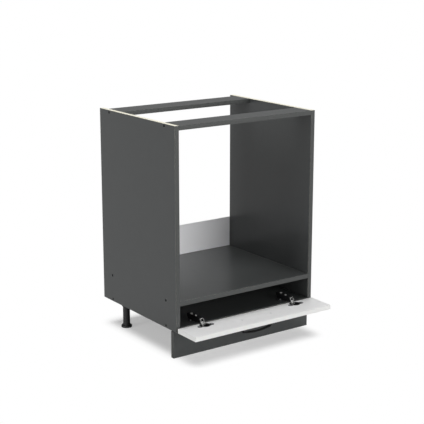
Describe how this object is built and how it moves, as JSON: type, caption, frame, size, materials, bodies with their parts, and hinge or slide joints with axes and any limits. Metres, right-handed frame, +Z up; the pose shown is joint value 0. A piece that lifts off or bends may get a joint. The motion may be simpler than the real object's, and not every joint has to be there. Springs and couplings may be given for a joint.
{
  "type": "oven base cabinet",
  "caption": "Base cabinet for a built-in oven: open niche above a shallow bay with a drop-down flap on cup hinges, on adjustable legs behind a plinth board.",
  "frame": {"origin": "floor level under the middle of the whole outline, open flap included", "axes": "+X to the right seen from the front, +Y to the back, +Z up"},
  "size_m": [0.6, 0.6066, 0.816],
  "materials": {
    "graphite_board": "fine matt melamine on chipboard",
    "graphite_band": "matt edge band",
    "pale_fibreboard": "thin lacquered fibreboard",
    "white_board": "smooth white melamine on chipboard",
    "white_band": "smooth white edge band",
    "beech": "raw beech",
    "black_plastic": "moulded, fine grain",
    "black_metal": "satin black coating",
    "nickel_plating": "satin nickel",
    "bright_zinc": "zinc plated",
    "black_zinc": "black zinc plated"
  },
  "bodies": {
    "carcass": {"left_side_panel": "graphite_board", "right_side_panel": "graphite_board", "bottom_panel": "graphite_board", "oven_shelf": "graphite_board", "front_top_rail": "graphite_board", "rear_top_rail": "graphite_board", "back_strip": "pale_fibreboard", "back_nails": "bright_zinc", "side_edge_bands": "graphite_band", "bottom_edge_band": "graphite_band", "shelf_edge_band": "graphite_band", "rail_edge_band": "graphite_band", "confirmat_screws": "black_zinc", "dowels": "beech", "leg_sockets": "black_plastic", "leg_screws": "bright_zinc", "leg_tubes": "black_plastic", "plinth_board": "graphite_board", "plinth_clips": "black_plastic", "plinth_clip_screws": "bright_zinc", "hinge_plates": "black_metal", "hinge_plate_screws": "bright_zinc", "hinge_arms": "black_metal", "hinge_arm_screws": "nickel_plating", "hinge_arm_pins": "nickel_plating"},
    "inner_links": {"hinge_inner_links": "nickel_plating"},
    "outer_links": {"hinge_outer_links": "nickel_plating"},
    "flap": {"hinge_cups": "black_metal", "hinge_cup_pins": "nickel_plating", "hinge_cup_screws": "bright_zinc", "flap_panel": "white_board", "flap_edge_bands": "white_band", "flap_handle": "black_metal", "handle_screws": "bright_zinc"},
    "foot_front_left": {"foot_front_left": "black_plastic"},
    "foot_front_right": {"foot_front_right": "black_plastic"},
    "foot_back_left": {"foot_back_left": "black_plastic"},
    "foot_back_right": {"foot_back_right": "black_plastic"}
  },
  "joints": [
    {"name": "flap_hinge", "type": "hinge", "parent": "carcass", "child": "flap", "pos_m": [0, -0.202, 0.10625], "axis": [-1, 0, 0], "range_deg": [0, 90]},
    {"name": "inner_link_swing", "type": "hinge", "parent": "carcass", "child": "inner_links", "pos_m": [0, -0.20008, 0.12213], "axis": [1, 0, 0], "range_deg": [0, 25.2]},
    {"name": "outer_link_swing", "type": "hinge", "parent": "carcass", "child": "outer_links", "pos_m": [0, -0.19662, 0.13373], "axis": [1, 0, 0], "range_deg": [0, 37.09]},
    {"name": "foot_front_left_thread", "type": "slide", "parent": "carcass", "child": "foot_front_left", "axis": [0, 0, -1], "range_m": [0, 0.02]},
    {"name": "foot_front_right_thread", "type": "slide", "parent": "carcass", "child": "foot_front_right", "axis": [0, 0, -1], "range_m": [0, 0.02]},
    {"name": "foot_back_left_thread", "type": "slide", "parent": "carcass", "child": "foot_back_left", "axis": [0, 0, -1], "range_m": [0, 0.02]},
    {"name": "foot_back_right_thread", "type": "slide", "parent": "carcass", "child": "foot_back_right", "axis": [0, 0, -1], "range_m": [0, 0.02]}
  ],
  "couplings": [
    {"joint": "inner_link_swing", "follows": "flap_hinge", "ratio": 0.27977},
    {"joint": "outer_link_swing", "follows": "flap_hinge", "ratio": 0.41191}
  ]
}
